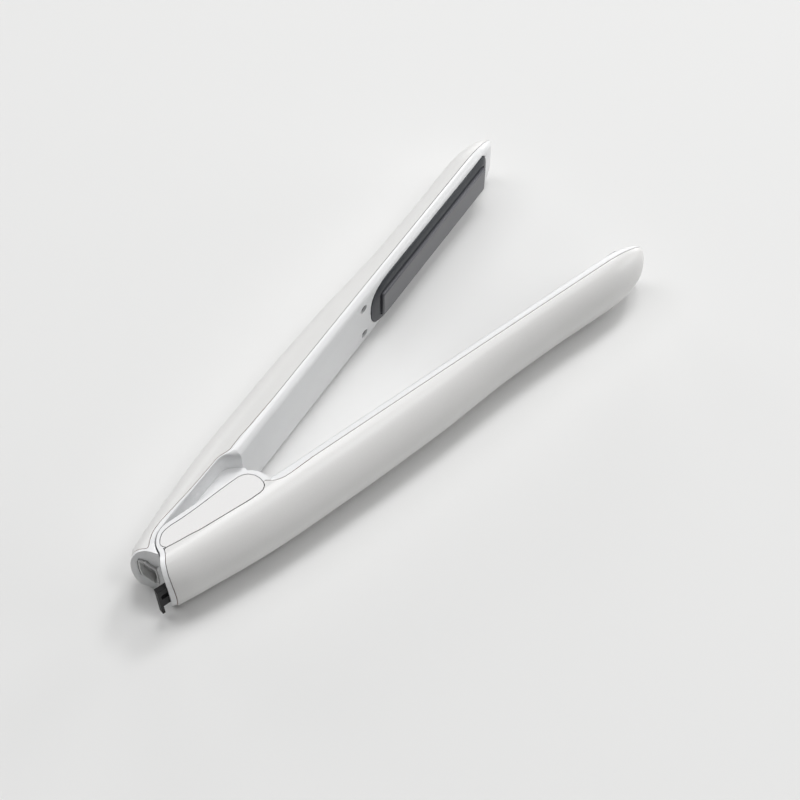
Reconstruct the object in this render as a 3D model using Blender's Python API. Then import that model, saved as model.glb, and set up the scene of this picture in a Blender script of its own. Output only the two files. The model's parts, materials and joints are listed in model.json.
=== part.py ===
"""Travel flat iron: two arms on a knuckle hinge at the tail, floating plates near the tip.

The iron lies on the floor z = 0, with the origin under its lower hinge cover and the pivot's
axis upright behind it. Each arm is drawn in its own frame: s runs from the pivot along the arm,
t from the pivot line out to the arm's back, and z up.
"""
import math

import bpy
import bmesh
from mathutils import Vector

# Arms
ARM_REACH = 0.1997
ARM_HEIGHT = 0.030
ARM_DEPTH = 0.0158
ARM_TILT = 9.42
ARM_TAIL = 0.0165
TIP_HEIGHT_SHARE = 0.885
TIP_CORNER = 0.0075
CORNER_LENGTH = 0.0185
BACK_ROUNDING = 0.0250
FACE_ROUNDING = 0.0140
INNER_EDGE = 0.0029
SEAM_DEPTH = 0.00306
SEAM_GAP = 0.00035
SHELL_WALL = 0.0016
NEAR_FACE = -0.00173
FAR_FACE = 0.00292
TIP_FALL = 2.0
HOLLOW_STEP = 0.0057
HOLLOW_SETBACK = 0.0095
PLAY = 0.0003

# Hinge
PIVOT_SETBACK = 0.018
HINGE_SPAN = 0.0363
KNUCKLE_HEIGHT = 0.0097
BARREL_RADIUS = 0.0050
BARREL_WALL = 0.0011
BARREL_FLOOR = 0.0016
BOSS_RADIUS = 0.0042
BOSS_CAP = 0.0027
PIN_RADIUS = 0.0020
PIN_CAP = 0.0020
PIN_PLAY = 0.00005
COVER_THICKNESS = 0.0012
PEG_RADIUS = 0.0015
PEG_LENGTH = 0.0035
COIL_RADIUS = 0.0030
COIL_WIRE = 0.0004
COIL_HEIGHT = 0.0062
COIL_TURNS = 5
TAIL_HOLLOW_SHARE = 0.1818
TONGUE_EDGE = 0.0006
WEB_EDGE = 0.0003
NOTCH_EDGE = 0.0006

# Plates and what holds them
TIP_MARGIN = 0.0081
BEZEL_FOOT = 0.0052
BEZEL_HEAD = 0.0033
BEZEL_ARCH = 0.0110
BEZEL_TIP = 0.0050
BEZEL_MARGIN = 0.0027
BEZEL_SEAT = 0.0010
BEZEL_RISE = 0.0010
BEZEL_SLOPE = 0.0020
BEZEL_RIM = 0.00015
PLATE_LENGTH = 0.0686
PLATE_HEIGHT_SHARE = 0.4367
PLATE_RISE = 0.0022
PLATE_CORNER = 0.0010
PLATE_EDGE = 0.0004
LIP_WIDTH = 0.0020
LIP_THICKNESS = 0.0010
HEATER_SETBACK = 0.0060
HEATER_HEIGHT_SHARE = 0.3333
HEATER_THICKNESS = 0.0013
PAD_RADIUS_SHARE = 0.0933
PAD_THICKNESS = 0.0019
PAD_SPACING = 0.040
FUSE_RADIUS = 0.0010
FUSE_LENGTH = 0.0100

# Screws, leads, inlet and lock
SCREW_SETBACK = 0.0043
SCREW_SPREAD_SHARE = 0.5367
SCREW_HEAD_RADIUS = 0.00155
SCREW_HEAD_HEIGHT = 0.0008
SCREW_SHANK_RADIUS = 0.0009
SCREW_LENGTH = 0.0070
SCREW_SINK = 0.0008
SCREW_BOSS_RADIUS = 0.0023
BLOCK_STEP_SHARE = 0.1912
BLOCK_LENGTH = 0.012
BLOCK_HEIGHT = 0.0090
BLOCK_THICKNESS = 0.0045
LEAD_RADIUS = 0.0007
LEAD_SPREAD_SHARE = 0.2867
LEAD_END_SHARE = 0.3
TAIL_CAP = 0.0017
TAIL_RECESS = 0.0011
POCKET_DEPTH = 0.0062
INLET_RECESS = 0.0003
INLET_WALL = 0.00045
SOCKET_DEPTH = 0.0036
LOCK_PLACE = 0.0051
LOCK_THICKNESS = 0.0020

# Fineness of the round pieces
BACK_STEPS = 20
EDGE_STEPS = 3
ARM_STEPS = 26
TIP_STEPS = 9
ROUND_STEPS = 24
SMALL_STEPS = 14
NOTCH_TURNS = (0, 30, 60, 85)

# The arm's depth along its reach: shares of ARM_REACH and of ARM_DEPTH
DEPTH_SHARES = [
    (-0.0856, 0.4430), (-0.0705, 0.5190), (-0.0655, 0.5823), (-0.0605, 0.6582), (-0.0554, 0.7152),
    (-0.0504, 0.7532), (-0.0252, 0.8038), (0.0000, 0.8418), (0.0403, 0.8924), (0.0705, 0.9304),
    (0.1008, 0.9620), (0.1360, 0.9873), (0.1814, 1.0000), (0.2569, 0.9937), (0.3678, 0.9747),
    (0.4635, 0.9272), (0.5189, 0.8987), (0.5592, 0.8481), (0.6045, 0.7975), (0.6448, 0.7532),
    (0.7154, 0.7215), (0.7960, 0.7025), (0.8615, 0.7152), (0.9169, 0.7278), (1.0000, 0.7089),
]

# Hinge outlines seen from above: shares of HINGE_SPAN
COVER_SIDE_SHARES = [
    (0.9229, -0.0275), (0.9146, 0.0028), (0.8815, 0.0303), (0.8430, 0.0386), (0.7300, 0.0413),
    (0.6253, 0.0358), (0.5179, 0.0303), (0.4132, 0.0248), (0.3058, 0.0193), (0.2011, 0.0138),
    (0.1047, 0.0000), (0.0028, -0.0083), (-0.0992, -0.0193), (-0.1377, -0.0248), (-0.1543, -0.0441),
    (-0.1625, -0.0661),
]
COVER_REST_SHARES = [
    (-0.1570, -0.0882), (-0.1322, -0.1212), (-0.0937, -0.1515), (-0.0468, -0.1680), (0.0165, -0.1736),
    (0.1102, -0.1708), (0.2204, -0.1736), (0.3361, -0.1791), (0.4490, -0.1873), (0.5647, -0.1956),
    (0.6804, -0.2011), (0.7741, -0.2039), (0.8209, -0.1956), (0.8623, -0.1736), (0.9036, -0.1267),
    (0.9229, -0.0716),
]
CHEEK_SHARES = [
    (0.2534, -0.2176), (0.7961, -0.2287), (0.8457, -0.2259), (0.8871, -0.2094), (0.9229, -0.1818),
    (0.9532, -0.1460), (0.9725, -0.1102), (0.9835, -0.0799), (1.0000, -0.0248),
]
NEAR_SEAM_SHARES = [
    (1.2865, 0.0441), (1.2011, 0.0482), (1.1157, 0.0468), (1.0661, 0.0372), (1.0220, 0.0207),
    (0.9862, -0.0040), (0.9532, -0.0303),
]
NEAR_TAIL_SHARES = [
    (-0.2107, -0.0331), (-0.2120, -0.0200), (-0.2175, 0.0000), (-0.2480, 0.0450), (-0.2726, 0.0860),
    (-0.2985, 0.1447), (-0.3123, 0.1881), (-0.3200, 0.2411), (-0.3330, 0.4408), (-0.3500, 0.6612),
]
FAR_NOTCH_SHARES = [
    (1.0303, 0.0551), (1.0083, 0.0799), (0.9725, 0.1212), (0.9421, 0.1625), (0.9146, 0.1860),
    (0.8815, 0.2025), (0.8402, 0.2121), (0.6612, 0.2135), (0.4408, 0.2163), (0.2204, 0.2204),
]
FAR_SEAM_SHARES = [
    (1.6529, 0.1653), (1.2948, 0.1749), (1.1433, 0.1832), (1.0468, 0.1818), (1.0000, 0.1804),
    (0.9587, 0.1887), (0.9201, 0.2039), (0.8815, 0.2190), (0.8402, 0.2273), (0.7438, 0.2300),
    (0.6061, 0.2342), (0.4683, 0.2410), (0.3306, 0.2521), (0.1928, 0.2658), (0.0716, 0.2782),
    (0.0110, 0.2782), (-0.0413, 0.2727), (-0.0909, 0.2590), (-0.1506, 0.2329), (-0.1850, 0.2110),
    (-0.2171, 0.1995), (-0.2300, 0.2087), (-0.2410, 0.2253), (-0.2590, 0.2617), (-0.2769, 0.2948),
]
FAR_TAIL_SHARES = [
    (-0.3554, 0.3499), (-0.3298, 0.3003), (-0.3063, 0.2774), (-0.2846, 0.2512), (-0.2529, 0.1970),
    (-0.2361, 0.1526), (-0.2245, 0.1047), (-0.2190, 0.0882),
]
CHEEK_RADIUS_SHARE = 0.2163
NOTCH_RADIUS_SHARE = 0.2245
TONGUE_REACH_SHARE = 1.0138
TAIL_CORNER_SHARES = (-0.2176, 0.0964)
TAIL_WALL_SHARE = 0.048
TAIL_SLOPE = (-0.485, 0.875)
CHEEK_ANGLE = 198.9
NECK_ANGLE = 127.0
PEG_SHARES = [(0.30, -0.08), (0.77, -0.08)]

# The far tail's end face: shares of ARM_DEPTH across it and of ARM_HEIGHT up it
RECESS_SHARES = [
    (0.0500, 0.6300), (0.0450, 0.7600), (0.1581, 0.7714), (0.2968, 0.7915), (0.4000, 0.8100),
    (0.4500, 0.8050), (0.4550, 0.7200), (0.4200, 0.6900), (0.3500, 0.6500), (0.2500, 0.5700),
    (0.1500, 0.5000),
]
POCKET_SHARES = [
    (0.4860, 0.7450), (0.4150, 0.7400), (0.3531, 0.7170), (0.2944, 0.7080), (0.2427, 0.6290),
    (0.1815, 0.5790), (0.1080, 0.5330), (0.1060, 0.3505), (0.1300, 0.1450), (0.2544, 0.1400),
    (0.3680, 0.2520), (0.4900, 0.3700), (0.5000, 0.5466),
]

# The lock's side view: shares of HINGE_SPAN along the arm and of ARM_HEIGHT up
LOCK_STEM_SHARES = [(-0.3994, -0.1625), (0.3000, 0.4767)]
LOCK_BAR_SHARES = [(-0.4160, -0.3857), (0.1300, 0.6950)]
LOCK_TAB_SHARES = [(-0.4105, -0.2930), (0.5700, 0.6880)]
LOCK_HEAD_SHARES = [(-0.1722, -0.1543), (0.2100, 0.7000)]

MIDDLE = ARM_HEIGHT / 2
NEAR_SEAM = NEAR_FACE + SEAM_DEPTH
FAR_SEAM = FAR_FACE + SEAM_DEPTH
BEYOND = ARM_REACH + ARM_DEPTH
OUTSIDE = ARM_DEPTH * 2
SLOT_HEIGHT = KNUCKLE_HEIGHT + SEAM_GAP * 2
CHEEK_RADIUS = CHEEK_RADIUS_SHARE * HINGE_SPAN
NOTCH_RADIUS = NOTCH_RADIUS_SHARE * HINGE_SPAN
TONGUE_REACH = TONGUE_REACH_SHARE * HINGE_SPAN
TAIL_HOLLOW = TAIL_HOLLOW_SHARE * HINGE_SPAN

# Places along the arm, the plate's counted back from the tip
BEZEL_END = ARM_REACH - TIP_MARGIN
PLATE_START = BEZEL_END - BEZEL_HEAD - PLATE_LENGTH
BEZEL_START = PLATE_START - BEZEL_FOOT
SCREW_PLACE = BEZEL_START - SCREW_SETBACK
HOLLOW_END = BEZEL_START - HOLLOW_SETBACK
HOLLOW_START = HINGE_SPAN + HOLLOW_STEP
HEATER_START = PLATE_START + HEATER_SETBACK
HEATER_LENGTH = PLATE_LENGTH - HEATER_SETBACK * 2
BLOCK_PLACE = HOLLOW_START + (HEATER_START - HOLLOW_START) * BLOCK_STEP_SHARE

# Heights that keep together: shares of ARM_HEIGHT
PLATE_HEIGHT = ARM_HEIGHT * PLATE_HEIGHT_SHARE
HEATER_HEIGHT = ARM_HEIGHT * HEATER_HEIGHT_SHARE
PAD_RADIUS = ARM_HEIGHT * PAD_RADIUS_SHARE
SCREW_SPREAD = ARM_HEIGHT * SCREW_SPREAD_SHARE
LEAD_SPREAD = ARM_HEIGHT * LEAD_SPREAD_SHARE


for leftover in list(bpy.data.objects):
    bpy.data.objects.remove(leftover, do_unlink=True)


# Each arm's own frame

def make_frame(name, degrees, side, face, seam, step):
    empty = bpy.data.objects.new(name + "_arm", None)
    empty.location = (-PIVOT_SETBACK, 0, 0)
    empty.rotation_euler = (0, 0, math.radians(degrees))
    bpy.context.scene.collection.objects.link(empty)
    return {"name": name, "empty": empty, "side": side, "face": face, "seam": seam, "step": step}


NEAR = make_frame("near", -ARM_TILT, -1, NEAR_FACE, NEAR_SEAM, HINGE_SPAN)
FAR = make_frame("far", ARM_TILT, 1, FAR_FACE, FAR_SEAM, TONGUE_REACH)


# Bodies

def make_object(name, points, faces, arm):
    """Turn (s, t, z) points into an object that hangs on the arm's frame, facing out."""
    mesh = bpy.data.meshes.new(name)
    mesh.from_pydata([(s, arm["side"] * t, z) for s, t, z in points], [], faces)
    shape = bmesh.new()
    shape.from_mesh(mesh)
    bmesh.ops.recalc_face_normals(shape, faces=shape.faces)
    shape.to_mesh(mesh)
    shape.free()
    thing = bpy.data.objects.new(name, mesh)
    bpy.context.scene.collection.objects.link(thing)
    thing.parent = arm["empty"]
    return thing


def skin(name, rings, arm):
    """Close a row of equal rings into one body."""
    count = len(rings[0])
    points = [point for ring in rings for point in ring]
    faces = [tuple(range(count)), tuple(range(len(points) - count, len(points)))]
    for row in range(len(rings) - 1):
        low = row * count
        for i in range(count):
            j = (i + 1) % count
            faces.append((low + i, low + j, low + count + j, low + count + i))
    return make_object(name, points, faces, arm)


def prism(name, outline, low, high, arm):
    """Extrude an (s, t) outline upward."""
    return skin(name, [[(s, t, z) for s, t in outline] for z in (low, high)], arm)


def slab(name, outline, low, high, arm):
    """Extrude an (s, z) outline outward along t."""
    return skin(name, [[(s, t, z) for s, z in outline] for t in (low, high)], arm)


def edged_slab(name, outline, low, high, edge, arm):
    """A slab with the rim of its inner-side face taken off."""
    levels = [(shrink(outline, edge), low), (outline, low + edge), (outline, high)]
    return skin(name, [[(s, t, z) for s, z in ring] for ring, t in levels], arm)


def rod(name, start, end, t, z, radius, arm):
    """A round bar along the arm."""
    ring = circle(t, z, radius, SMALL_STEPS)
    return skin(name, [[(s, a, b) for a, b in ring] for s in (start, end)], arm)


def tail_slab(name, outline, low, high):
    """Extrude an outline drawn on the far tail's end face inward."""
    along = Vector(TAIL_SLOPE).normalized()
    inward = Vector((along.y, -along.x))
    start = Vector(TAIL_CORNER_SHARES) * HINGE_SPAN
    rings = []
    for depth in (low, high):
        base = start + inward * depth
        rings.append([(base.x + along.x * d, base.y + along.y * d, z) for d, z in outline])
    return skin(name, rings, FAR)


# Outlines

def circle(s, t, radius, steps):
    angles = [math.tau * i / steps for i in range(steps)]
    return [(s + radius * math.cos(a), t + radius * math.sin(a)) for a in angles]


def arc(radius, start, end, steps):
    """Points about the pivot between two angles in degrees, both ends kept."""
    angles = [math.radians(start + (end - start) * i / steps) for i in range(steps + 1)]
    return [(radius * math.cos(a), radius * math.sin(a)) for a in angles]


def box(low_a, high_a, low_b, high_b):
    return [(low_a, low_b), (high_a, low_b), (high_a, high_b), (low_a, high_b)]


def tall_box(start, end, height):
    return box(start, end, MIDDLE - height / 2, MIDDLE + height / 2)


def rounded_box(start, end, height, radius):
    outline = []
    top = MIDDLE + height / 2 - radius
    low = MIDDLE - height / 2 + radius
    corners = [(end - radius, top), (start + radius, top), (start + radius, low), (end - radius, low)]
    for quarter, (a, b) in enumerate(corners):
        for step in range(EDGE_STEPS + 1):
            angle = math.pi / 2 * (quarter + step / EDGE_STEPS)
            outline.append((a + radius * math.cos(angle), b + radius * math.sin(angle)))
    return outline


def shrink(outline, distance):
    """Move an outline's edges inward, or outward for a negative distance."""
    count = len(outline)
    area = 0
    for i in range(count):
        area += outline[i - 1][0] * outline[i][1] - outline[i][0] * outline[i - 1][1]
    turn = 1 if area > 0 else -1
    result = []
    for i in range(count):
        here = Vector(outline[i])
        before = (here - Vector(outline[i - 1])).normalized()
        after = (Vector(outline[(i + 1) % count]) - here).normalized()
        bisector = Vector((-before.y - after.y, before.x + after.x)).normalized()
        lean = max(bisector.dot(Vector((-before.y, before.x))), 0.5)
        result.append(tuple(here + bisector * turn * distance / lean))
    return result


def shift_line(line, distance):
    """Move an open line sideways, to its left for a positive distance."""
    result = []
    for i, place in enumerate(line):
        before = Vector(line[max(i - 1, 0)])
        after = Vector(line[min(i + 1, len(line) - 1)])
        way = (after - before).normalized()
        result.append((place[0] - way.y * distance, place[1] + way.x * distance))
    return result


def sized(shares, across=HINGE_SPAN, up=HINGE_SPAN):
    return [(a * across, b * up) for a, b in shares]


# Live joins and cuts

def combine(thing, guide, operation):
    guide.hide_render = True
    guide.display_type = "WIRE"
    step = thing.modifiers.new(guide.name, "BOOLEAN")
    step.operation = operation
    step.solver = "EXACT"
    step.object = guide
    return thing


def cut(thing, guide):
    return combine(thing, guide, "DIFFERENCE")


def join(thing, guide):
    return combine(thing, guide, "UNION")


def keep(thing, guide):
    return combine(thing, guide, "INTERSECT")


def finish(thing, material, soft=False):
    thing.data.materials.append(MATERIALS[material])
    if soft:
        for face in thing.data.polygons:
            face.use_smooth = True
        thing.data.set_sharp_from_angle(angle=math.radians(35))
    return thing


def make_material(name, color, roughness, metallic=0.0):
    material = bpy.data.materials.new(name)
    material.use_nodes = True
    shader = material.node_tree.nodes["Principled BSDF"]
    shader.inputs["Base Color"].default_value = (*color, 1)
    shader.inputs["Roughness"].default_value = roughness
    shader.inputs["Metallic"].default_value = metallic
    return material


# The arms' common form

def smooth_share(table, x):
    """Read a table of (x, value) rows along a smooth curve."""
    if x <= table[0][0]:
        return table[0][1]
    if x >= table[-1][0]:
        return table[-1][1]
    i = max(k for k in range(len(table) - 1) if table[k][0] <= x)
    slopes = []
    for k in (i, i + 1):
        a = table[max(k - 1, 0)]
        b = table[min(k + 1, len(table) - 1)]
        slopes.append((b[1] - a[1]) / (b[0] - a[0]))
    span = table[i + 1][0] - table[i][0]
    f = (x - table[i][0]) / span
    value = table[i][1] * (1 + 2 * f) * (1 - f) ** 2 + table[i + 1][1] * f * f * (3 - 2 * f)
    return value + span * (slopes[0] * f * (1 - f) ** 2 - slopes[1] * f * f * (1 - f))


def depth_at(s):
    return ARM_DEPTH * smooth_share(DEPTH_SHARES, s / ARM_REACH)


def half_height_at(s):
    fall = (max(s, 0) / ARM_REACH) ** TIP_FALL
    return MIDDLE * (1 - (1 - TIP_HEIGHT_SHARE) * fall)


def rounding(s, end, radius, power):
    """How much of a rounded end is left at s: 1 before the rounding, near 0 at the end."""
    share = min(max((s - end + radius) / radius, 0), 0.996)
    return (1 - share ** power) ** (1 / power)


def arm_ring(arm, s, inset, end):
    edge = INNER_EDGE - inset
    corner = (TIP_CORNER - inset) * (1 - rounding(s, end, CORNER_LENGTH - inset, 2))
    half = half_height_at(s) - inset - corner
    back = (depth_at(s) - SEAM_DEPTH - inset) * rounding(s, end, BACK_ROUNDING, 2.5)
    face = arm["face"] + inset
    if s < arm["step"] - SEAM_GAP / 2:
        face -= HINGE_SPAN / 3
    face += (arm["seam"] - face) * (1 - rounding(s, end, FACE_ROUNDING - inset, 2))
    bend = min(edge, 0.9 * (arm["seam"] - face))
    ring = []
    for step in range(BACK_STEPS + 1):
        angle = math.pi * (0.5 - step / BACK_STEPS)
        ring.append((s, arm["seam"] + back * math.cos(angle), MIDDLE + half * math.sin(angle)))
    for side, first in ((-1, 270), (1, 180)):
        for step in range(EDGE_STEPS + 1):
            angle = math.radians(first - 90 * step / EDGE_STEPS)
            across = face + bend + bend * math.cos(angle)
            up = MIDDLE + side * (half - edge) + edge * math.sin(angle)
            ring.append((s, across, up))
    return ring


def arm_body(name, arm, inset, start, end=None):
    """The arm's outer form, or its inside at an inset, between two stations."""
    tip = BEYOND * 2 if end else ARM_REACH - inset
    stop = end if end else tip - BACK_ROUNDING
    count = max(round(ARM_STEPS * (stop - start) / ARM_REACH), 3)
    stations = [start + (stop - start) * i / count for i in range(count + 1)]
    if start < arm["step"]:
        stations = [s for s in stations if abs(s - arm["step"]) > SEAM_GAP * 4]
        stations = sorted(stations + [arm["step"] - SEAM_GAP, arm["step"]])
    if not end:
        for i in range(1, TIP_STEPS + 1):
            stations.append(stop + BACK_ROUNDING * math.sin(math.pi / 2 * i / TIP_STEPS))
    return skin(name, [arm_ring(arm, s, inset, tip) for s in stations], arm)


# Seams seen from above

COVER = sized(COVER_SIDE_SHARES + COVER_REST_SHARES)
SIDE_COUNT = len(COVER_SIDE_SHARES) - 2
NEAR_TAIL = sized(NEAR_TAIL_SHARES)


def near_outer_outline():
    seam = [(BEYOND, NEAR_SEAM), (HINGE_SPAN * 1.45, NEAR_SEAM)] + sized(NEAR_SEAM_SHARES)
    side = shrink(COVER, -SEAM_GAP)[:SIDE_COUNT]
    cap = shift_line(NEAR_TAIL[1:], -TAIL_CAP - SEAM_GAP / 2)
    return shift_line(seam, -SEAM_GAP / 2) + side + cap + [(BEYOND, OUTSIDE)]


def near_inner_outline():
    seam = [(BEYOND, NEAR_SEAM), (HINGE_SPAN * 1.45, NEAR_SEAM)] + sized(NEAR_SEAM_SHARES)
    cap = shift_line(NEAR_TAIL, SEAM_GAP / 2 - TAIL_CAP) + NEAR_TAIL[::-1]
    knuckle = arc(CHEEK_RADIUS, CHEEK_ANGLE, 270, ROUND_STEPS // 2)
    front = sized(CHEEK_SHARES) + [(HINGE_SPAN, -OUTSIDE), (BEYOND, -OUTSIDE)]
    return shift_line(seam, SEAM_GAP / 2) + COVER[:SIDE_COUNT] + cap + knuckle + front


def far_seam_line():
    seam = [(BEYOND, FAR_SEAM)] + sized(FAR_SEAM_SHARES)
    along = Vector(TAIL_SLOPE).normalized()
    inward = Vector((along.y, -along.x))
    wall = Vector(TAIL_CORNER_SHARES) * HINGE_SPAN + inward * TAIL_WALL_SHARE * HINGE_SPAN
    return seam + [tuple(wall + along * HINGE_SPAN * share) for share in (0.26, 1)]


def far_outer_outline():
    return shift_line(far_seam_line(), -SEAM_GAP / 2) + [(BEYOND, HINGE_SPAN)]


def far_inner_outline():
    corner = Vector(TAIL_CORNER_SHARES) * HINGE_SPAN
    tail_end = tuple(corner + Vector(TAIL_SLOPE).normalized() * HINGE_SPAN)
    notch = arc(NOTCH_RADIUS, 160, NECK_ANGLE, ROUND_STEPS // 4)
    edge_angle = math.degrees(math.asin(TONGUE_EDGE / BARREL_RADIUS))
    barrel = arc(BARREL_RADIUS, NECK_ANGLE, 360 + edge_angle, ROUND_STEPS)
    front = [(TONGUE_REACH - TONGUE_EDGE, TONGUE_EDGE), (TONGUE_REACH, TONGUE_EDGE * 2),
             (TONGUE_REACH, -OUTSIDE), (BEYOND, -OUTSIDE)]
    tail = [tail_end] + sized(FAR_TAIL_SHARES)
    return shift_line(far_seam_line(), SEAM_GAP / 2) + tail + notch + barrel + front


# Outer shells

def hollow(arm, start):
    """The room inside an arm, going round the screw bosses."""
    room = arm_body(arm["name"] + "_room", arm, SHELL_WALL, start)
    for sign in (-1, 1):
        z = MIDDLE + sign * SCREW_SPREAD / 2
        outline = circle(SCREW_PLACE, z, SCREW_BOSS_RADIUS, SMALL_STEPS)
        cut(room, slab(arm["name"] + "_boss", outline, arm["seam"] + SEAM_GAP / 2, OUTSIDE, arm))
    return room


def screw_hole(thing, arm, sign, radius, low, high):
    outline = circle(SCREW_PLACE, MIDDLE + sign * SCREW_SPREAD / 2, radius, SMALL_STEPS)
    cut(thing, slab(thing.name + "_hole", outline, arm["face"] + low, arm["face"] + high, arm))


def outer_shell(arm, outline, start):
    shell = arm_body(arm["name"] + "_outer_shell", arm, 0, -ARM_TAIL)
    keep(shell, prism(arm["name"] + "_outer_mask", outline, -ARM_HEIGHT, ARM_HEIGHT * 2, arm))
    cut(shell, hollow(arm, start))
    for sign in (-1, 1):
        screw_hole(shell, arm, sign, SCREW_SHANK_RADIUS + PLAY, 0, SCREW_LENGTH + SCREW_SINK + PLAY * 3)
    return shell


near_outer = outer_shell(NEAR, near_outer_outline(), -TAIL_HOLLOW)
far_outer = outer_shell(FAR, far_outer_outline(), -ARM_TAIL)


# Lock and its slot in the near tail

def lock_box(name, shares):
    (start, end), (bottom, top) = shares
    outline = box(start * HINGE_SPAN, end * HINGE_SPAN, bottom * ARM_HEIGHT, top * ARM_HEIGHT)
    return slab(name, outline, LOCK_PLACE, LOCK_PLACE + LOCK_THICKNESS, NEAR)


def lock_slot():
    low, high = LOCK_BAR_SHARES[1]
    outline = box(-HINGE_SPAN / 2, PLAY - TAIL_HOLLOW, low * ARM_HEIGHT - PLAY, high * ARM_HEIGHT + PLAY)
    return slab("lock_slot", outline, LOCK_PLACE - PLAY, LOCK_PLACE + LOCK_THICKNESS + PLAY, NEAR)


cut(near_outer, lock_slot())
lock = lock_box("lock_slider", LOCK_STEM_SHARES)
join(lock, lock_box("lock_bar", LOCK_BAR_SHARES))
join(lock, lock_box("lock_tab", LOCK_TAB_SHARES))
join(lock, lock_box("lock_head", LOCK_HEAD_SHARES))


# Inner shells

def bezel_end(place, length, power, way):
    """One end of the bezel's outline: half an oval, squarer for a higher power."""
    points = []
    for i in range(ROUND_STEPS // 2 + 1):
        angle = math.pi * (0.5 - i / (ROUND_STEPS // 2))
        s = place + way * length * (1 - abs(math.cos(angle)) ** (2 / power))
        share = abs(math.sin(angle)) ** (2 / power)
        points.append((s, way * math.copysign(share, math.sin(angle))))
    return points


def bezel_outline(inset):
    """Arched toward the hinge and blunt toward the tip, from top to bottom and back."""
    ends = bezel_end(BEZEL_START + inset, BEZEL_ARCH - inset, 2.5, 1)
    ends += bezel_end(BEZEL_END - inset, BEZEL_TIP - inset, 3.5, -1)
    return [(s, MIDDLE + share * (half_height_at(s) - BEZEL_MARGIN - inset)) for s, share in ends]


BEZEL = bezel_outline(0)
PLATE = rounded_box(PLATE_START, PLATE_START + PLATE_LENGTH, PLATE_HEIGHT, PLATE_CORNER)


def inner_shell(arm, outline):
    shell = arm_body(arm["name"] + "_inner_shell", arm, 0, -ARM_TAIL)
    keep(shell, prism(arm["name"] + "_inner_mask", outline, -ARM_HEIGHT, ARM_HEIGHT * 2, arm))
    cut(shell, arm_body(arm["name"] + "_inner_room", arm, SHELL_WALL, HOLLOW_START, HOLLOW_END))
    face = arm["face"]
    seat = bezel_outline(-PLAY)
    cut(shell, slab(arm["name"] + "_seat", seat, face - OUTSIDE, face + BEZEL_SEAT + PLAY, arm))
    window = shrink(PLATE, -PLAY * 1.5)
    cut(shell, slab(arm["name"] + "_window", window, face - OUTSIDE, arm["seam"] + OUTSIDE, arm))
    for sign in (-1, 1):
        head_depth = SCREW_SINK + SCREW_HEAD_HEIGHT + PLAY
        screw_hole(shell, arm, sign, SCREW_HEAD_RADIUS + PLAY, -OUTSIDE, head_depth)
        screw_hole(shell, arm, sign, SCREW_SHANK_RADIUS + PLAY, 0, OUTSIDE)
    return shell


near_inner = inner_shell(NEAR, near_inner_outline())
cut(near_inner, lock_slot())
far_inner = inner_shell(FAR, far_inner_outline())


# The near arm's knuckles: pin bosses, the slot between them and seats for the covers

def add_bosses():
    boss = circle(0, 0, BOSS_RADIUS, ROUND_STEPS)
    join(near_inner, prism("pin_boss", boss, BOSS_CAP, ARM_HEIGHT - BOSS_CAP, NEAR))


def cut_slot():
    low = MIDDLE - SLOT_HEIGHT / 2
    high = MIDDLE + SLOT_HEIGHT / 2
    end = TONGUE_REACH + SEAM_GAP * 2
    web = box(-HINGE_SPAN, end, -OUTSIDE, -WEB_EDGE)
    cut(near_inner, prism("tongue_slot", web, low, high, NEAR))
    pocket = circle(0, 0, BARREL_RADIUS + SEAM_GAP, ROUND_STEPS)
    cut(near_inner, prism("barrel_pocket", pocket, low, high, NEAR))


def cut_cover_seats():
    seat = shrink(COVER, -PLAY)
    depth = COVER_THICKNESS + PLAY
    cut(near_inner, prism("upper_seat", seat, ARM_HEIGHT - depth, ARM_HEIGHT * 2, NEAR))
    cut(near_inner, prism("lower_seat", seat, -ARM_HEIGHT, depth, NEAR))
    deep = depth + PEG_LENGTH
    for s, t in sized(PEG_SHARES):
        hole = circle(s, t, PEG_RADIUS + PLAY, SMALL_STEPS)
        cut(near_inner, prism("upper_peg_hole", hole, ARM_HEIGHT - deep, ARM_HEIGHT, NEAR))
        cut(near_inner, prism("lower_peg_hole", hole, -ARM_HEIGHT, deep, NEAR))


add_bosses()
cut_slot()
cut_cover_seats()
pin_hole = circle(0, 0, PIN_RADIUS + PIN_PLAY, ROUND_STEPS)
cut(near_inner, prism("pin_hole", pin_hole, -ARM_HEIGHT, ARM_HEIGHT * 2, NEAR))


# The far arm's tongue: room for the cheeks above and below it, a floor that turns on the pin
# and a bore for the spring

def seam_room(point):
    """How far a point of the notch is from the far arm's seam."""
    place = Vector(point)
    line = [Vector(spot) for spot in far_seam_line()]
    rooms = []
    for start, end in zip(line, line[1:]):
        share = (place - start).dot(end - start) / (end - start).length_squared
        rooms.append((start.lerp(end, min(max(share, 0), 1)) - place).length)
    return min(rooms)


def far_notch():
    """The notch's outline, and how far its rim is rounded at each point: most at its front."""
    front = sized(FAR_NOTCH_SHARES)
    back = arc(NOTCH_RADIUS + SEAM_GAP / 3, 90, 180, ROUND_STEPS // 2)
    back += [(-OUTSIDE, 0), (-OUTSIDE, -OUTSIDE)]
    edges = [min(max(seam_room(point) - SEAM_GAP / 2, NOTCH_EDGE / 3), INNER_EDGE) for point in front]
    outline = [(front[0][0], -OUTSIDE)] + front + back
    return outline, [edges[0]] + edges + [NOTCH_EDGE] * len(back)


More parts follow.
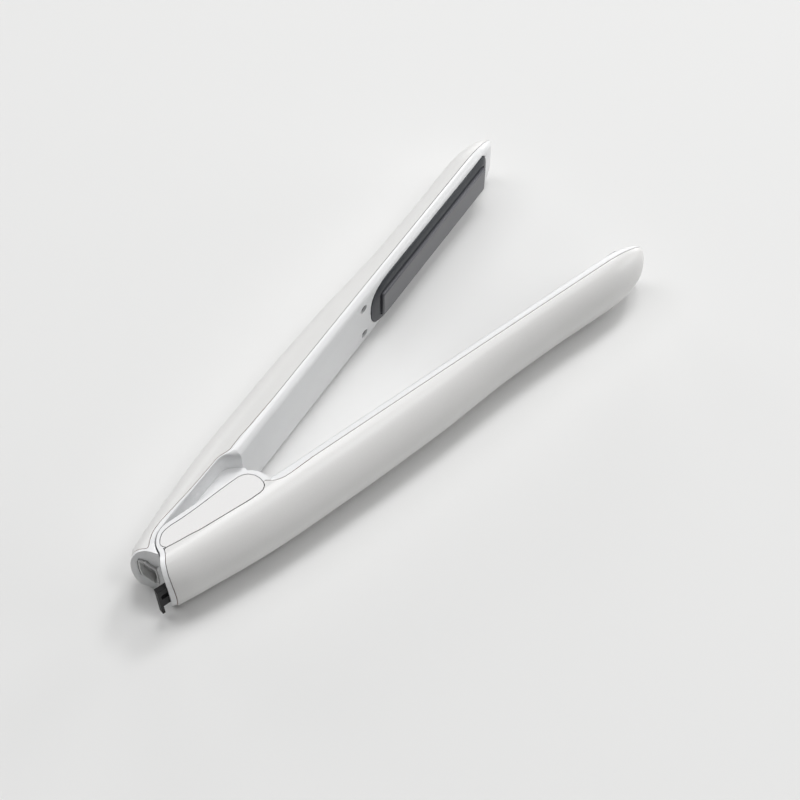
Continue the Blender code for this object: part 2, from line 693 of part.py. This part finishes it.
def notch_cutter(name, way):
    """From the tongue outward, up for way 1 and down for -1, opening at the rim."""
    outline, edges = far_notch()
    grown = shrink(outline, -PLAY)
    spread = [((g[0] - p[0]) / PLAY, (g[1] - p[1]) / PLAY) for g, p in zip(grown, outline)]
    rings = [[(s, t, MIDDLE + way * KNUCKLE_HEIGHT / 2) for s, t in outline]]
    for turn in NOTCH_TURNS:
        up, out = math.sin(math.radians(turn)), 1 - math.cos(math.radians(turn))
        rings.append([(s + a * edge * out, t + b * edge * out, MIDDLE + way * (MIDDLE - edge * (1 - up)))
                      for (s, t), (a, b), edge in zip(outline, spread, edges)])
    rings.append([(s, t, MIDDLE + way * ARM_HEIGHT) for s, t, z in rings[-1]])
    return skin(name, rings, FAR)


cut(far_inner, notch_cutter("upper_notch", 1))
cut(far_inner, notch_cutter("lower_notch", -1))
bore = circle(0, 0, BARREL_RADIUS - BARREL_WALL, ROUND_STEPS)
BORE_FLOOR = MIDDLE - KNUCKLE_HEIGHT / 2 + BARREL_FLOOR
cut(far_inner, prism("spring_bore", bore, BORE_FLOOR, ARM_HEIGHT * 2, FAR))
cut(far_inner, prism("barrel_pin_hole", pin_hole, -ARM_HEIGHT, ARM_HEIGHT * 2, FAR))


# The far tail's end face and the power inlet behind it

recess = sized(RECESS_SHARES, ARM_DEPTH, ARM_HEIGHT)
pocket = sized(POCKET_SHARES, ARM_DEPTH, ARM_HEIGHT)
cut(far_inner, tail_slab("tail_recess", recess, -OUTSIDE, TAIL_RECESS))
cut(far_inner, tail_slab("tail_pocket", pocket, -OUTSIDE, POCKET_DEPTH + PLAY))
cut(far_outer, tail_slab("inlet_room", pocket, 0, POCKET_DEPTH + PLAY))
inlet = tail_slab("power_inlet", shrink(pocket, PLAY), INLET_RECESS, POCKET_DEPTH)
socket = shrink(pocket, PLAY + INLET_WALL)
cut(inlet, tail_slab("socket_room", socket, -OUTSIDE, SOCKET_DEPTH))


# Hinge covers, pin and spring

def peg_cover(name, low, high, peg_low, peg_high):
    cover = prism(name, COVER, low, high, NEAR)
    for s, t in sized(PEG_SHARES):
        peg = circle(s, t, PEG_RADIUS, SMALL_STEPS)
        join(cover, prism(name + "_peg", peg, peg_low, peg_high, NEAR))
    return cover


PEG_REACH = COVER_THICKNESS + PEG_LENGTH
upper_cover = peg_cover("upper_hinge_cover", ARM_HEIGHT - COVER_THICKNESS, ARM_HEIGHT,
                        ARM_HEIGHT - PEG_REACH, ARM_HEIGHT - COVER_THICKNESS / 2)
lower_cover = peg_cover("lower_hinge_cover", 0, COVER_THICKNESS, COVER_THICKNESS / 2, PEG_REACH)
pin = prism("hinge_pin", circle(0, 0, PIN_RADIUS, ROUND_STEPS), PIN_CAP, ARM_HEIGHT - PIN_CAP, NEAR)


def coil_spring():
    """A wound wire about the pin, swept as a six-sided tube."""
    count = COIL_TURNS * SMALL_STEPS
    rings = []
    for i in range(count + 1):
        angle = math.tau * i / SMALL_STEPS
        z = BORE_FLOOR + PLAY + COIL_WIRE + COIL_HEIGHT * i / count
        ring = []
        for a, b in circle(COIL_RADIUS, z, COIL_WIRE, 6):
            ring.append((a * math.cos(angle), a * math.sin(angle), b))
        rings.append(ring)
    return skin("hinge_spring", rings, NEAR)


coil = coil_spring()


# Bezels, plates and heaters

def bezel(arm):
    face = arm["face"]
    levels = [(bezel_outline(BEZEL_SLOPE), face - BEZEL_RISE), (BEZEL, face - BEZEL_RIM),
              (BEZEL, face + BEZEL_SEAT)]
    frame = skin(arm["name"] + "_bezel", [[(s, t, z) for s, z in ring] for ring, t in levels], arm)
    window = shrink(PLATE, -PLAY * 1.5)
    cut(frame, slab(arm["name"] + "_bezel_window", window, face - OUTSIDE, face + OUTSIDE, arm))
    return frame


def heating_plate(arm):
    """The plate with a lip behind the shell that keeps it in."""
    lip = arm["seam"] + PLAY
    plate = edged_slab(arm["name"] + "_heating_plate", PLATE, arm["face"] - PLATE_RISE,
                       lip + LIP_THICKNESS / 2, PLATE_EDGE, arm)
    outline = shrink(PLATE, -LIP_WIDTH)
    join(plate, slab(arm["name"] + "_lip", outline, lip, lip + LIP_THICKNESS, arm))
    return plate


def heater(arm):
    low = arm["seam"] + LIP_THICKNESS + PLAY * 2
    outline = tall_box(HEATER_START, HEATER_START + HEATER_LENGTH, HEATER_HEIGHT)
    return slab(arm["name"] + "_heater", outline, low, low + HEATER_THICKNESS, arm)


PLATE_MIDDLE = PLATE_START + PLATE_LENGTH / 2
HEATER_BACK = LIP_THICKNESS + HEATER_THICKNESS + PLAY * 3


def pad(arm, name, offset):
    low = arm["seam"] + HEATER_BACK
    outline = circle(PLATE_MIDDLE + offset, MIDDLE, PAD_RADIUS, SMALL_STEPS)
    return slab(arm["name"] + "_" + name, outline, low, low + PAD_THICKNESS, arm)


def thermal_fuse(arm):
    t = arm["seam"] + HEATER_BACK + FUSE_RADIUS
    start = PLATE_MIDDLE - FUSE_LENGTH / 2
    return rod(arm["name"] + "_thermal_fuse", start, start + FUSE_LENGTH, t, MIDDLE, FUSE_RADIUS, arm)


# Screws, terminal blocks and leads

def screw(arm, name, sign):
    top = arm["face"] + SCREW_SINK
    z = MIDDLE + sign * SCREW_SPREAD / 2
    body = slab(arm["name"] + "_" + name, circle(SCREW_PLACE, z, SCREW_SHANK_RADIUS, SMALL_STEPS),
                top + SCREW_HEAD_HEIGHT / 2, top + SCREW_LENGTH, arm)
    head = circle(SCREW_PLACE, z, SCREW_HEAD_RADIUS, SMALL_STEPS)
    join(body, slab(body.name + "_head", head, top, top + SCREW_HEAD_HEIGHT, arm))
    slot = box(SCREW_PLACE - SCREW_HEAD_RADIUS / 4, SCREW_PLACE + SCREW_HEAD_RADIUS / 4,
               z - SCREW_HEAD_RADIUS * 0.7, z + SCREW_HEAD_RADIUS * 0.7)
    cross = box(SCREW_PLACE - SCREW_HEAD_RADIUS * 0.7, SCREW_PLACE + SCREW_HEAD_RADIUS * 0.7,
                z - SCREW_HEAD_RADIUS / 4, z + SCREW_HEAD_RADIUS / 4)
    for outline in (slot, cross):
        cut(body, slab(body.name + "_drive", outline, top - PLAY, top + SCREW_HEAD_HEIGHT / 2, arm))
    return body


def terminal_block(arm):
    low = arm["face"] + SHELL_WALL + PLAY
    outline = tall_box(BLOCK_PLACE, BLOCK_PLACE + BLOCK_LENGTH, BLOCK_HEIGHT)
    return slab(arm["name"] + "_terminal_block", outline, low, low + BLOCK_THICKNESS, arm)


def lead(name, path, arm):
    """A six-sided tube through (s, t, z) points that run along the arm."""
    rings = []
    for s, t, z in path:
        rings.append([(s, a, b) for a, b in circle(t, z, LEAD_RADIUS, 6)])
    return skin(name, rings, arm)


def heater_lead(arm, name, sign):
    low = arm["face"] + SHELL_WALL + BLOCK_THICKNESS - LEAD_RADIUS
    high = arm["seam"] + HEATER_BACK + LEAD_RADIUS + PAD_THICKNESS / 2
    start = BLOCK_PLACE + BLOCK_LENGTH + PLAY
    end = HEATER_START + HEATER_LENGTH * LEAD_END_SHARE
    run = end - start
    near_z = MIDDLE + sign * BLOCK_HEIGHT / 4
    far_z = MIDDLE + sign * LEAD_SPREAD / 2
    path = [(start, low, near_z), (start + run / 12, low, near_z),
            (start + run / 3, high, far_z), (end, high, far_z)]
    return lead(arm["name"] + "_" + name, path, arm)


def inlet_lead(name, sign):
    low = FAR["face"] + SHELL_WALL + BLOCK_THICKNESS - LEAD_RADIUS
    high = FAR["seam"] + HINGE_SPAN / 6
    z = MIDDLE + sign * BLOCK_HEIGHT / 4
    path = [(-HINGE_SPAN / 8, high, z), (HINGE_SPAN, high, z),
            (BLOCK_PLACE - BLOCK_LENGTH / 3, low, z), (BLOCK_PLACE - PLAY, low, z)]
    return lead(name, path, FAR)


# Materials

MATERIALS = {
    "outer": make_material("pearl_shell", (0.80, 0.79, 0.77), 0.35),
    "inner": make_material("gloss_shell", (0.86, 0.86, 0.85), 0.25),
    "cover": make_material("hinge_cover", (0.84, 0.84, 0.83), 0.3),
    "slate": make_material("slate_bezel", (0.040, 0.045, 0.052), 0.45),
    "plate": make_material("grey_plate", (0.16, 0.16, 0.165), 0.35, 0.6),
    "black": make_material("black_plastic", (0.012, 0.012, 0.013), 0.4),
    "inlet": make_material("inlet_plastic", (0.78, 0.78, 0.775), 0.5),
    "steel": make_material("bright_steel", (0.55, 0.55, 0.56), 0.3, 1.0),
    "heater": make_material("heater_ceramic", (0.75, 0.73, 0.68), 0.6),
    "pad": make_material("silicone_pad", (0.45, 0.10, 0.05), 0.7),
    "block": make_material("terminal_plastic", (0.70, 0.66, 0.55), 0.5),
    "brown": make_material("brown_lead", (0.10, 0.045, 0.02), 0.5),
    "blue": make_material("blue_lead", (0.02, 0.06, 0.25), 0.5),
}

finish(near_outer, "outer", True)
finish(far_outer, "outer", True)
finish(near_inner, "inner", True)
finish(far_inner, "inner", True)
finish(upper_cover, "cover")
finish(lower_cover, "cover")
finish(pin, "steel", True)
finish(coil, "steel", True)
finish(lock, "black")
finish(inlet, "inlet")
for arm in (NEAR, FAR):
    finish(bezel(arm), "slate")
    finish(heating_plate(arm), "plate")
    finish(heater(arm), "heater")
    finish(pad(arm, "front_pad", PAD_SPACING / 2), "pad", True)
    finish(pad(arm, "rear_pad", -PAD_SPACING / 2), "pad", True)
    finish(thermal_fuse(arm), "steel", True)
    finish(terminal_block(arm), "block")
    finish(screw(arm, "upper_screw", 1), "steel", True)
    finish(screw(arm, "lower_screw", -1), "steel", True)
    finish(heater_lead(arm, "upper_lead", 1), "brown", True)
    finish(heater_lead(arm, "lower_lead", -1), "blue", True)
finish(inlet_lead("inlet_upper_lead", 1), "brown", True)
finish(inlet_lead("inlet_lower_lead", -1), "blue", True)
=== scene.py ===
"""The travel flat iron, dressed and lit on a pale table.

It lies on its side, open, with its tail toward the camera.
"""
import json
import math

import bmesh
import bpy
from mathutils import Matrix, Vector
from mathutils.bvhtree import BVHTree

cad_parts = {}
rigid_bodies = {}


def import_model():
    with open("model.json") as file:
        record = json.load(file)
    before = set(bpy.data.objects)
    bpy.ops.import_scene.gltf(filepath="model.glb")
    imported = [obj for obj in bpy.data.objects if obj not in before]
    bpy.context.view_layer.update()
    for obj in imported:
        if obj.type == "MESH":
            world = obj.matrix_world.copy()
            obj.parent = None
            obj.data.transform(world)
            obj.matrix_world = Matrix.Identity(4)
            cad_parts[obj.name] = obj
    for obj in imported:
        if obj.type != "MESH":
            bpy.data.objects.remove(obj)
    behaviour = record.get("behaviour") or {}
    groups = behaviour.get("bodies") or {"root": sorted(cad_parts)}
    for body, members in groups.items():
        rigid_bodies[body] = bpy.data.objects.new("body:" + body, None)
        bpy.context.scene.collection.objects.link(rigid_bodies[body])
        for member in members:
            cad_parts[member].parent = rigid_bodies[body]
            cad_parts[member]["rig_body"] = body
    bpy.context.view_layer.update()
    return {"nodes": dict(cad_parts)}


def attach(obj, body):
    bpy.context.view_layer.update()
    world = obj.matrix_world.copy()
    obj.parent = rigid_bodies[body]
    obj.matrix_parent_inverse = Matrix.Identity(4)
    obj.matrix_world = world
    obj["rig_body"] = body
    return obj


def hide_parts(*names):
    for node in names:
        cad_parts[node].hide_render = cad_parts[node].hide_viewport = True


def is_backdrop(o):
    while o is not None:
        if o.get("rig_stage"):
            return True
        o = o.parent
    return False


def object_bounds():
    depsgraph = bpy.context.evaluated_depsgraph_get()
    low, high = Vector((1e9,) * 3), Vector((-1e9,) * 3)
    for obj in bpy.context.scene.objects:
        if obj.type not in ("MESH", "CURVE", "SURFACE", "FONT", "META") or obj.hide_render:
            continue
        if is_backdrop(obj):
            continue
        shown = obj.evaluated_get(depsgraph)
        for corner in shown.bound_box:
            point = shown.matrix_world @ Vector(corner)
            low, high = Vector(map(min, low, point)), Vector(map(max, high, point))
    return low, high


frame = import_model()


# Outer shells
# The two long backs of the arms, moulded in white plastic and painted in a satin pearl. Each
# clips onto its inner shell along a fine seam, whose walls carry a brown-grey painted shade.

MERGE_REACH = 0.00002
FLAT_ANGLE = math.radians(0.2)
SOFT_ANGLE = math.radians(32)
EDGE_SEGMENTS = 2
SEAM_REACH = 0.0004
SEAM_CLOSING = 0.20
SEAM_FACING = 0.8
BROAD_SCALE = 40.0
BROAD_DETAIL = 4.0
FINE_SCALE = 2500.0
FINE_DETAIL = 2.0
FLECK_WEIGHT = 0.5
TONE_WEIGHT = 0.6
RELIEF_DEPTH = 0.00001


def merged_form(node):
    """A node's solid with its doubled points merged and its flat faces whole."""
    form = bmesh.new()
    form.from_mesh(frame["nodes"][node].data)
    bmesh.ops.remove_doubles(form, verts=form.verts, dist=MERGE_REACH)
    bmesh.ops.dissolve_limit(form, angle_limit=FLAT_ANGLE, verts=form.verts, edges=form.edges)
    return form


def close_seam(form, other):
    """Bring a seam's walls nearer to each other, and give the walls the second slot, a painted
    shade of the gap.
    """
    facing = BVHTree.FromBMesh(other)
    for face in form.faces:
        middle = face.calc_center_median()
        place, *_ = facing.find_nearest(middle, SEAM_REACH)
        if place and (place - middle).normalized().dot(face.normal) > SEAM_FACING:
            face.material_index = 1
    for point in form.verts:
        place, *_ = facing.find_nearest(point.co, SEAM_REACH)
        if place:
            point.co += (place - point.co) * SEAM_CLOSING


def moulded(form, node, material, edge=0.0):
    """Make a form the visible piece for a node, soft except at its corners."""
    bmesh.ops.recalc_face_normals(form, faces=form.faces)
    for face in form.faces:
        face.smooth = True
    for line in form.edges:
        line.smooth = len(line.link_faces) == 2 and line.calc_face_angle() < SOFT_ANGLE
    mesh = bpy.data.meshes.new(node + "_moulding")
    form.to_mesh(mesh)
    form.free()
    mesh.materials.append(material)
    # Faces on the seam walls take the brown-grey painted shade of the narrow gap.
    if any(face.material_index for face in mesh.polygons):
        mesh.materials.append(seam_painted_shade)
    piece = bpy.data.objects.new(node + "_moulding", mesh)
    bpy.context.scene.collection.objects.link(piece)
    if edge:
        rounding = piece.modifiers.new("edge", "BEVEL")
        rounding.width = edge
        rounding.segments = EDGE_SEGMENTS
        rounding.limit_method = "ANGLE"
        rounding.angle_limit = SOFT_ANGLE
        rounding.use_clamp_overlap = False
        rounding.harden_normals = True
    body = frame["nodes"][node]["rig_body"]
    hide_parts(node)
    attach(piece, body)
    return piece


def make_speckle():
    """A group for fine moulded texture: a soft tone, a fleck mask and a height."""
    group = bpy.data.node_groups.new("speckle", "ShaderNodeTree")
    for name, start in (("Broad Scale", BROAD_SCALE), ("Fine Scale", FINE_SCALE)):
        socket = group.interface.new_socket(name, in_out="INPUT", socket_type="NodeSocketFloat")
        socket.default_value = start
    for name in ("Tone", "Fleck", "Height"):
        group.interface.new_socket(name, in_out="OUTPUT", socket_type="NodeSocketFloat")
    nodes, links = group.nodes, group.links
    given = nodes.new("NodeGroupInput")
    out = nodes.new("NodeGroupOutput")
    place = nodes.new("ShaderNodeTexCoord")
    broad = nodes.new("ShaderNodeTexNoise")
    fine = nodes.new("ShaderNodeTexNoise")
    flecks = nodes.new("ShaderNodeTexVoronoi")
    for texture, scale in ((broad, "Broad Scale"), (fine, "Fine Scale"), (flecks, "Fine Scale")):
        links.new(place.outputs["Object"], texture.inputs["Vector"])
        links.new(given.outputs[scale], texture.inputs["Scale"])
    broad.inputs["Detail"].default_value = BROAD_DETAIL
    fine.inputs["Detail"].default_value = FINE_DETAIL
    links.new(broad.outputs["Fac"], out.inputs["Tone"])
    links.new(flecks.outputs["Distance"], out.inputs["Fleck"])
    links.new(fine.outputs["Fac"], out.inputs["Height"])
    return group


speckle = make_speckle()


def plastic(name, low, high, roughness, spread, relief, fine=FINE_SCALE,
            coat=0.0, coat_roughness=0.1, metallic=0.0):
    """Moulded plastic whose colour runs between two close tones, with a fine relief."""
    material = bpy.data.materials.new(name)
    material.use_nodes = True
    nodes, links = material.node_tree.nodes, material.node_tree.links
    shader = nodes["Principled BSDF"]
    texture = nodes.new("ShaderNodeGroup")
    texture.node_tree = speckle
    texture.inputs["Fine Scale"].default_value = fine
    tone = nodes.new("ShaderNodeMix")
    tone.data_type = "RGBA"
    tone.inputs["A"].default_value = (*low, 1)
    tone.inputs["B"].default_value = (*high, 1)
    blend = nodes.new("ShaderNodeMath")
    blend.operation = "MULTIPLY_ADD"
    blend.inputs[1].default_value = FLECK_WEIGHT
    links.new(texture.outputs["Fleck"], blend.inputs[0])
    part = nodes.new("ShaderNodeMath")
    part.operation = "MULTIPLY"
    part.inputs[1].default_value = TONE_WEIGHT
    links.new(texture.outputs["Tone"], part.inputs[0])
    links.new(part.outputs["Value"], blend.inputs[2])
    links.new(blend.outputs["Value"], tone.inputs["Factor"])
    links.new(tone.outputs["Result"], shader.inputs["Base Color"])
    rough = nodes.new("ShaderNodeMapRange")
    rough.inputs["To Min"].default_value = roughness - spread
    rough.inputs["To Max"].default_value = roughness + spread
    links.new(texture.outputs["Tone"], rough.inputs["Value"])
    links.new(rough.outputs["Result"], shader.inputs["Roughness"])
    bump = nodes.new("ShaderNodeBump")
    bump.inputs["Strength"].default_value = relief
    bump.inputs["Distance"].default_value = RELIEF_DEPTH
    links.new(texture.outputs["Height"], bump.inputs["Height"])
    links.new(bump.outputs["Normal"], shader.inputs["Normal"])
    shader.inputs["Coat Weight"].default_value = coat
    shader.inputs["Coat Roughness"].default_value = coat_roughness
    shader.inputs["Metallic"].default_value = metallic
    return material


PEARL_LOW = (0.70, 0.695, 0.685)
PEARL_HIGH = (0.78, 0.775, 0.765)
# Brown-grey painted shade for the seam walls, standing in for the shade in the gaps between the
# shells.
SEAM_SHADE_LOW = (0.56, 0.44, 0.40)
SEAM_SHADE_HIGH = (0.66, 0.54, 0.50)
seam_painted_shade = plastic("seam_painted_shade", SEAM_SHADE_LOW, SEAM_SHADE_HIGH, roughness=0.6, spread=0.05, relief=0.2)
pearl_paint = plastic("pearl_paint", PEARL_LOW, PEARL_HIGH, roughness=0.40, spread=0.04,
                      relief=0.25, fine=4000.0, coat=0.25, coat_roughness=0.22)
for node in ("near_outer_shell", "far_outer_shell"):
    form = merged_form(node)
    other = merged_form(node.replace("outer", "inner"))
    close_seam(form, other)
    other.free()
    moulded(form, node, pearl_paint)


# Inner shells
# The arms' inner halves in plain white plastic with a higher gloss. They carry the bezels,
# the hinge knuckles and, on the far arm, the socket for the power lead.

WHITE_LOW = (0.80, 0.805, 0.81)
WHITE_HIGH = (0.84, 0.845, 0.85)
white_plastic = plastic("white_plastic", WHITE_LOW, WHITE_HIGH, roughness=0.32, spread=0.03,
                        relief=0.12, fine=3000.0, coat=0.15, coat_roughness=0.15)
for node in ("near_inner_shell", "far_inner_shell"):
    form = merged_form(node)
    other = merged_form(node.replace("inner", "outer"))
    close_seam(form, other)
    other.free()
    moulded(form, node, white_plastic)


# Hinge covers
# A flat teardrop cap on each side of the near arm's knuckle, pressed in on two pegs to hide
# the pin's ends.

COVER_LOW = (0.76, 0.755, 0.75)
COVER_HIGH = (0.80, 0.795, 0.79)
cover_plastic = plastic("cover_plastic", COVER_LOW, COVER_HIGH, roughness=0.42, spread=0.04,
                        relief=0.2, fine=3500.0)
for node in ("upper_hinge_cover", "lower_hinge_cover"):
    moulded(merged_form(node), node, cover_plastic)


# Hinge pin and spring
# A turned steel pin, and the wound wire spring that pushes the arms apart.

STEEL_SHADE = 0.92


def steel(name, tone, roughness):
    """Bare metal that runs a little darker than its tone in places."""
    shaded = tuple(v * STEEL_SHADE for v in tone)
    return plastic(name, shaded, tone, roughness, spread=0.06, relief=0.3, fine=6000.0,
                   metallic=1.0)


bright_steel = steel("bright_steel", (0.56, 0.56, 0.57), roughness=0.28)
for node in ("hinge_pin", "hinge_spring"):
    moulded(merged_form(node), node, bright_steel)


# Bezels
# A dark heat-resistant frame let into each inner shell round the plate's window.

SMALL_EDGE = 0.00012
SLATE_LOW = (0.018, 0.022, 0.028)
SLATE_HIGH = (0.027, 0.032, 0.040)
slate_plastic = plastic("slate_plastic", SLATE_LOW, SLATE_HIGH, roughness=0.38, spread=0.05,
                        relief=0.3, fine=3500.0)
for node in ("near_bezel", "far_bezel"):
    moulded(merged_form(node), node, slate_plastic, SMALL_EDGE)


# Heating plates
# Pressed aluminium under a grey ceramic coating, with rounded long edges. They float on their
# pads and stand a little proud of the bezels.

PLATE_LOW = (0.078, 0.080, 0.091)
PLATE_HIGH = (0.096, 0.098, 0.110)
plate_coating = plastic("plate_coating", PLATE_LOW, PLATE_HIGH, roughness=0.34, spread=0.05,
                        relief=0.12, fine=5000.0, coat=0.2, coat_roughness=0.12)
for node in ("near_heating_plate", "far_heating_plate"):
    moulded(merged_form(node), node, plate_coating, SMALL_EDGE)


# Heaters, pads and thermal fuses
# Behind each plate: a flat ceramic heating element, two silicone discs that push the plate
# out, and a small fuse in a steel can.

heater_ceramic = plastic("heater_ceramic", (0.66, 0.64, 0.60), (0.74, 0.72, 0.67),
                         roughness=0.6, spread=0.08, relief=0.6)
pad_silicone = plastic("pad_silicone", (0.36, 0.07, 0.035), (0.42, 0.09, 0.045),
                       roughness=0.55, spread=0.05, relief=0.3)
for arm in ("near", "far"):
    for part, material in (("heater", heater_ceramic), ("front_pad", pad_silicone),
                           ("rear_pad", pad_silicone), ("thermal_fuse", bright_steel)):
        moulded(merged_form(arm + "_" + part), arm + "_" + part, material)


# Screws
# Two small screws in each arm, sunk in round holes beside the bezel, hold its shells together.

# The screws' near-black is partly dark steel and partly painted shade of the sunk holes.
dark_steel_and_painted_shade = steel("dark_steel_and_painted_shade", (0.10, 0.10, 0.11), roughness=0.35)
for arm in ("near", "far"):
    for place in ("upper", "lower"):
        node = arm + "_" + place + "_screw"
        moulded(merged_form(node), node, dark_steel_and_painted_shade)


# Leads and terminal blocks
# Sleeved wires run from a block in each arm to its heater, and from the inlet to the far arm's
# block.

block_plastic = plastic("block_plastic", (0.60, 0.56, 0.46), (0.68, 0.64, 0.53),
                        roughness=0.5, spread=0.06, relief=0.4)
brown_sleeve = plastic("brown_sleeve", (0.075, 0.032, 0.014), (0.10, 0.044, 0.02),
                       roughness=0.5, spread=0.06, relief=0.4)
blue_sleeve = plastic("blue_sleeve", (0.012, 0.035, 0.16), (0.02, 0.05, 0.21),
                      roughness=0.5, spread=0.06, relief=0.4)
for start in ("near", "far", "inlet"):
    moulded(merged_form(start + "_upper_lead"), start + "_upper_lead", brown_sleeve)
    moulded(merged_form(start + "_lower_lead"), start + "_lower_lead", blue_sleeve)
for arm in ("near", "far"):
    moulded(merged_form(arm + "_terminal_block"), arm + "_terminal_block", block_plastic)


# Lock and inlet
# The black slider of the arms' lock in the near tail, and the socket for the power lead in the
# far tail.

LOCK_LOW = (0.004, 0.004, 0.0045)
LOCK_HIGH = (0.008, 0.008, 0.0085)
LOCK_SHINE = 0.22
INLET_LOW = (0.76, 0.76, 0.755)
INLET_HIGH = (0.80, 0.80, 0.795)
black_plastic = plastic("black_plastic", LOCK_LOW, LOCK_HIGH, roughness=0.55, spread=0.06,
                        relief=0.4, fine=3000.0)
lock_shader = black_plastic.node_tree.nodes["Principled BSDF"]
lock_shader.inputs["Specular IOR Level"].default_value = LOCK_SHINE
moulded(merged_form("lock_slider"), "lock_slider", black_plastic, SMALL_EDGE)
inlet_plastic = plastic("inlet_plastic", INLET_LOW, INLET_HIGH, roughness=0.45, spread=0.05,
                        relief=0.3, fine=3000.0)
moulded(merged_form("power_inlet"), "power_inlet", inlet_plastic)


# Table
# A wide matt white board that the iron lies on.

TABLE_SPAN = 4.0
TABLE_CLEARANCE = 0.00005
TABLE_COLOUR = (0.79, 0.79, 0.785, 1)
TABLE_ROUGHNESS = 0.75
TABLE_SHINE = 0.2


def make_table():
    """One flat square just under the iron."""
    form = bmesh.new()
    bmesh.ops.create_grid(form, x_segments=1, y_segments=1, size=TABLE_SPAN)
    mesh = bpy.data.meshes.new("table")
    form.to_mesh(mesh)
    form.free()
    table = bpy.data.objects.new("table", mesh)
    bpy.context.scene.collection.objects.link(table)
    table.location.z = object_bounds()[0][2] - TABLE_CLEARANCE
    table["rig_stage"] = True
    return table


table_paint = bpy.data.materials.new("table_paint")
table_paint.use_nodes = True
table_shader = table_paint.node_tree.nodes["Principled BSDF"]
table_shader.inputs["Base Color"].default_value = TABLE_COLOUR
table_shader.inputs["Roughness"].default_value = TABLE_ROUGHNESS
table_shader.inputs["Specular IOR Level"].default_value = TABLE_SHINE
make_table().data.materials.append(table_paint)


# Light
# A dim pale room, and soft round panels in a wide ring: the strongest above and beyond the
# tips, so that the shadows fall toward the tail.

ROOM_LEVEL = 0.02
ROOM_SHINE = 0.30
ROOM_SHOWN = 0.85
PANEL_REACH = 3.0
WIDE_SPREAD = math.radians(14)
SMALL_SPREAD = math.radians(6)
PANEL_AIM = Vector((0.08, 0.0, 0.0))
# Name, height and bearing in degrees, spread, power in watts
PANELS = [
    ("low_ahead", 12, 0, WIDE_SPREAD, 19.8),
    ("low_far_ahead", 12, 45, WIDE_SPREAD, 13.4),
    ("low_far_side", 12, 90, WIDE_SPREAD, 11.7),
    ("low_near_ahead", 12, 315, WIDE_SPREAD, 14.2),
    ("high_ahead", 60, 0, WIDE_SPREAD, 7.8),
    ("high_far_side", 60, 120, WIDE_SPREAD, 15.5),
    ("high_near_side", 60, 300, WIDE_SPREAD, 9.2),
    ("overhead", 90, 0, WIDE_SPREAD, 12.4),
    ("key_ahead", 52, 8, SMALL_SPREAD, 15.2),
    ("key_near", 64, -58, SMALL_SPREAD, 8.0),
    ("key_top", 76, 30, SMALL_SPREAD, 16.0),
    ("key_far", 76, 118, SMALL_SPREAD, 5.2),
]


def make_room():
    """A room that lights little, shines faintly in gloss and shows pale behind the table."""
    world = bpy.data.worlds.new("room")
    bpy.context.scene.world = world
    world.use_nodes = True
    nodes, links = world.node_tree.nodes, world.node_tree.links
    path = nodes.new("ShaderNodeLightPath")
    shine = nodes.new("ShaderNodeMath")
    shine.operation = "MULTIPLY_ADD"
    shine.inputs[1].default_value = ROOM_SHINE - ROOM_LEVEL
    shine.inputs[2].default_value = ROOM_LEVEL
    shown = nodes.new("ShaderNodeMath")
    shown.operation = "MULTIPLY_ADD"
    shown.inputs[1].default_value = ROOM_SHOWN - ROOM_LEVEL
    links.new(path.outputs["Is Glossy Ray"], shine.inputs[0])
    links.new(path.outputs["Is Camera Ray"], shown.inputs[0])
    links.new(shine.outputs["Value"], shown.inputs[2])
    links.new(shown.outputs["Value"], nodes["Background"].inputs["Strength"])
    nodes["Background"].inputs["Color"].default_value = (1, 1, 1, 1)


def soft_panel(name, height, bearing, spread, power):
    """A round lamp that faces the iron from a height and a bearing in degrees."""
    lamp = bpy.data.lights.new(name, "AREA")
    lamp.shape = "DISK"
    lamp.size = PANEL_REACH * 2 * math.tan(spread)
    lamp.energy = power
    up, round_by = math.radians(height), math.radians(bearing)
    level = math.cos(up)
    way = Vector((level * math.cos(round_by), level * math.sin(round_by), math.sin(up)))
    panel = bpy.data.objects.new(name, lamp)
    panel.location = PANEL_AIM + way * PANEL_REACH
    panel.rotation_euler = (-way).to_track_quat("-Z", "Y").to_euler()
    panel.visible_camera = False
    bpy.context.scene.collection.objects.link(panel)


make_room()
for panel in PANELS:
    soft_panel(*panel)


# Camera
# A short telephoto view from above the tail, to the near side.

CAMERA_PLACE = Vector((-0.1462249, -0.2152940, 0.5421555))
CAMERA_RIGHT = Vector((0.68143084, -0.73187974, 0.00201335))
CAMERA_UP = Vector((0.63454957, 0.59217597, 0.49666333))
CAMERA_LENS = 78.2457
CAMERA_NEAREST = 0.01
lens = bpy.data.cameras.new("camera")
lens.lens = CAMERA_LENS
lens.clip_start = CAMERA_NEAREST
camera = bpy.data.objects.new("camera", lens)
turn = Matrix((CAMERA_RIGHT, CAMERA_UP, CAMERA_RIGHT.cross(CAMERA_UP))).transposed()
camera.matrix_world = Matrix.Translation(CAMERA_PLACE) @ turn.to_4x4()
bpy.context.scene.collection.objects.link(camera)
bpy.context.scene.camera = camera
bpy.context.scene.view_settings.view_transform = "Standard"
